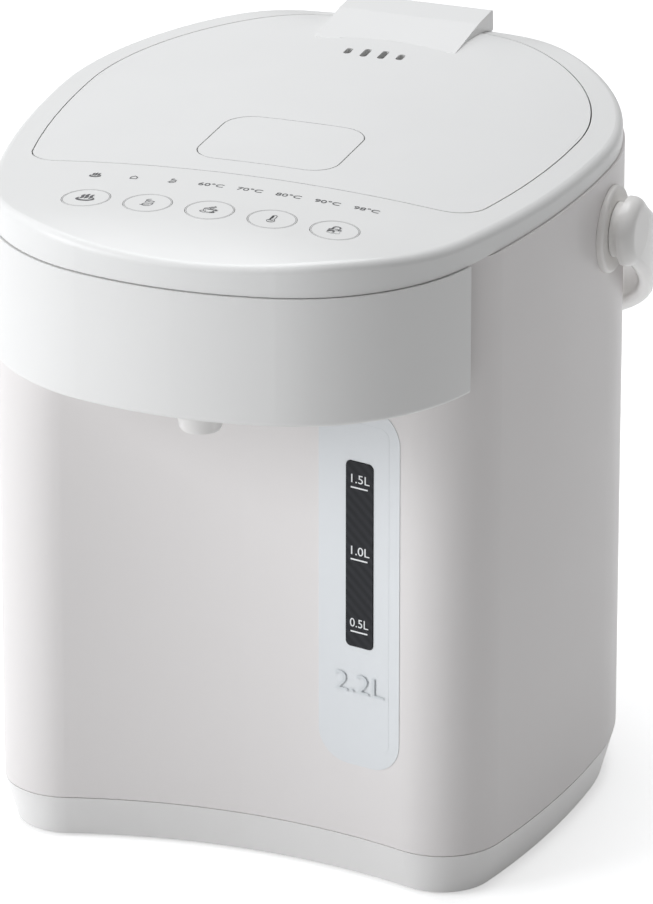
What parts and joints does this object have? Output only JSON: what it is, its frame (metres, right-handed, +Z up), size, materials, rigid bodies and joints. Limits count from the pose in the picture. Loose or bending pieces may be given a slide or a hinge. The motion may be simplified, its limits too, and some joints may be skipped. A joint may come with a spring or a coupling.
{
  "type": "electric thermo pot",
  "caption": "Electric thermo pot with a hinged lid, swinging carrying handle, pumped front spout, water gauge and control keys on a sloping deck.",
  "frame": {"origin": "middle of the footprint on the table, under the feet", "axes": "+X to the user's right, -Y towards the spout side, +Z up"},
  "size_m": [0.2332, 0.2926, 0.262],
  "materials": {
    "painted_steel": "satin",
    "top_plastic": "gloss",
    "cover_plastic": "satin",
    "base_plastic": "satin",
    "pan_plastic": "matt",
    "foot_rubber": "matt",
    "grey_key": "satin",
    "silver_plate": "metallic satin",
    "dark_window": "dark",
    "clear_window": "clear",
    "gauge_glass": "clear",
    "steel": "brushed",
    "pin_steel": "bright",
    "ball_steel": "polished",
    "shield_steel": "mill",
    "plate_cast": "cast",
    "silicone": "matt",
    "hose_silicone": "matt",
    "black_plastic": "satin",
    "white_plastic": "satin",
    "board": "gloss",
    "zinc_screw": "zinc",
    "brass_contact": "bright",
    "band_mica": "dull"
  },
  "bodies": {
    "housing": {"body_shell": "painted_steel", "base_ring": "base_plastic", "base_pan": "pan_plastic", "rubber_feet": "foot_rubber", "base_screws": "zinc_screw", "top_ring": "top_plastic", "front_cover": "cover_plastic", "spout_nozzle": "base_plastic", "lid_hinge_pin": "pin_steel", "inner_pot": "steel", "pot_seal": "silicone", "heat_shield": "shield_steel", "heater_plate": "plate_cast", "heater_support": "steel", "band_heater": "band_mica", "thermostat": "black_plastic", "thermistor": "pin_steel", "pump_housing": "white_plastic", "pump_cover": "white_plastic", "pump_bracket": "steel", "pump_screws": "zinc_screw", "motor": "steel", "suction_hose": "hose_silicone", "gauge_plate": "silver_plate", "gauge_window": "dark_window", "gauge_tube": "gauge_glass", "gauge_elbows": "hose_silicone", "outlet_hose": "hose_silicone", "outlet_pipe": "white_plastic", "handle_flanges": "base_plastic", "handle_pins": "pin_steel", "control_board": "board", "board_screws": "zinc_screw", "key_switches": "black_plastic", "light_guide": "clear_window", "power_board": "board", "inlet_socket": "black_plastic", "inlet_contacts": "brass_contact"},
    "lid": {"lid_cover": "top_plastic", "lid_liner": "steel", "lid_gasket": "silicone", "steam_duct": "white_plastic", "release_pin": "pin_steel", "release_spring": "steel", "latch_spring": "steel", "lid_screws": "zinc_screw"},
    "release_plate": {"release_plate": "grey_key"},
    "latch": {"latch_slide": "white_plastic"},
    "valve_ball": {"valve_ball": "ball_steel"},
    "handle": {"handle": "top_plastic"},
    "rotor": {"motor_rotor": "black_plastic"},
    "impeller": {"impeller": "white_plastic"},
    "key_1": {"key_1": "grey_key"},
    "key_2": {"key_2": "grey_key"},
    "key_3": {"key_3": "grey_key"},
    "key_4": {"key_4": "grey_key"},
    "key_5": {"key_5": "grey_key"}
  },
  "joints": [
    {"name": "lid_hinge", "type": "hinge", "parent": "housing", "child": "lid", "pos_m": [0, 0.10632, 0.2552], "axis": [-1, 0, 0], "range_deg": [0, 80]},
    {"name": "release_plate_hinge", "type": "hinge", "parent": "lid", "child": "release_plate", "pos_m": [0, -0.01818, 0.2547], "axis": [1, 0, 0], "range_deg": [0, 4], "stiffness_Nm_per_rad": 0.6, "springref_deg": -2.86, "deforming": ["release_spring"]},
    {"name": "latch_travel", "type": "slide", "parent": "lid", "child": "latch", "axis": [0, 1, 0], "range_m": [0, 0.0025]},
    {"name": "ball_lift", "type": "slide", "parent": "lid", "child": "valve_ball", "axis": [0, 0, 1], "range_m": [0, 0.003]},
    {"name": "handle_swing", "type": "hinge", "parent": "housing", "child": "handle", "pos_m": [0, 0.01632, 0.2216], "axis": [1, 0, 0], "range_deg": [0, 123]},
    {"name": "motor_spin", "type": "hinge", "parent": "housing", "child": "rotor", "pos_m": [-0.034, -0.01768, 0.039], "axis": [0, 0, 1], "continuous": true},
    {"name": "impeller_spin", "type": "hinge", "parent": "housing", "child": "impeller", "pos_m": [-0.034, -0.01768, 0.039], "axis": [0, 0, 1], "continuous": true},
    {"name": "key_1_press", "type": "slide", "parent": "housing", "child": "key_1", "axis": [0, 0, -1], "range_m": [0, 0.0005], "stiffness_N_per_m": 600, "springref_m": -0.0005},
    {"name": "key_2_press", "type": "slide", "parent": "housing", "child": "key_2", "axis": [0, 0, -1], "range_m": [0, 0.0005], "stiffness_N_per_m": 600, "springref_m": -0.0005},
    {"name": "key_3_press", "type": "slide", "parent": "housing", "child": "key_3", "axis": [0, 0, -1], "range_m": [0, 0.0005], "stiffness_N_per_m": 600, "springref_m": -0.0005},
    {"name": "key_4_press", "type": "slide", "parent": "housing", "child": "key_4", "axis": [0, 0, -1], "range_m": [0, 0.0005], "stiffness_N_per_m": 600, "springref_m": -0.0005},
    {"name": "key_5_press", "type": "slide", "parent": "housing", "child": "key_5", "axis": [0, 0, -1], "range_m": [0, 0.0005], "stiffness_N_per_m": 600, "springref_m": -0.0005}
  ],
  "couplings": [
    {"joint": "latch_travel", "follows": "release_plate_hinge", "m_per_rad": 0.034377},
    {"joint": "impeller_spin", "follows": "motor_spin", "ratio": 1}
  ]
}
